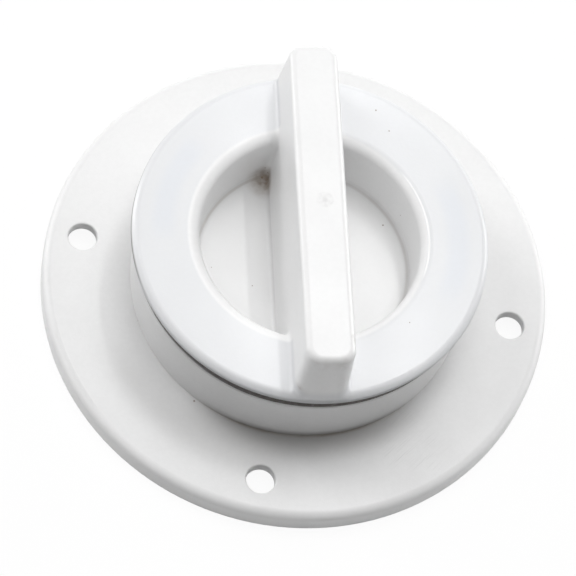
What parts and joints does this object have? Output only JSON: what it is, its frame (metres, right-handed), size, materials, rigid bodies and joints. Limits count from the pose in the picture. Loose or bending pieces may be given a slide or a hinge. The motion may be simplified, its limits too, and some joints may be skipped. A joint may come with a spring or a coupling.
{
  "type": "scupper fitting",
  "caption": "Round white plastic scupper fitting: a flanged socket with screw holes and a screw-in dished plug with a grip bar and a flat seal.",
  "frame": {"origin": "middle of the face that rests on the deck", "axes": "+Z out of the deck along the thread's axis; screw holes lie along X and Y"},
  "size_m": [0.09, 0.09, 0.0363],
  "materials": {
    "socket_plastic": "white moulded plastic, satin, with fine scuffs",
    "plug_plastic": "white moulded plastic with a soft sheen",
    "seal_rubber": "dark flat rubber"
  },
  "bodies": {
    "socket": {"socket": "socket_plastic"},
    "seal": {"seal_ring": "seal_rubber"},
    "plug": {"plug": "plug_plastic"}
  },
  "joints": [
    {"name": "plug_lift", "type": "slide", "parent": "socket", "child": "seal", "axis": [0, 0, 1], "range_m": [0, 0.0091]},
    {"name": "plug_turn", "type": "hinge", "parent": "seal", "child": "plug", "pos_m": [0, 0, 0.0105], "axis": [0, 0, 1], "range_deg": [0, 810]}
  ],
  "couplings": [
    {"joint": "plug_lift", "follows": "plug_turn", "m_per_rad": 0.00063662}
  ]
}
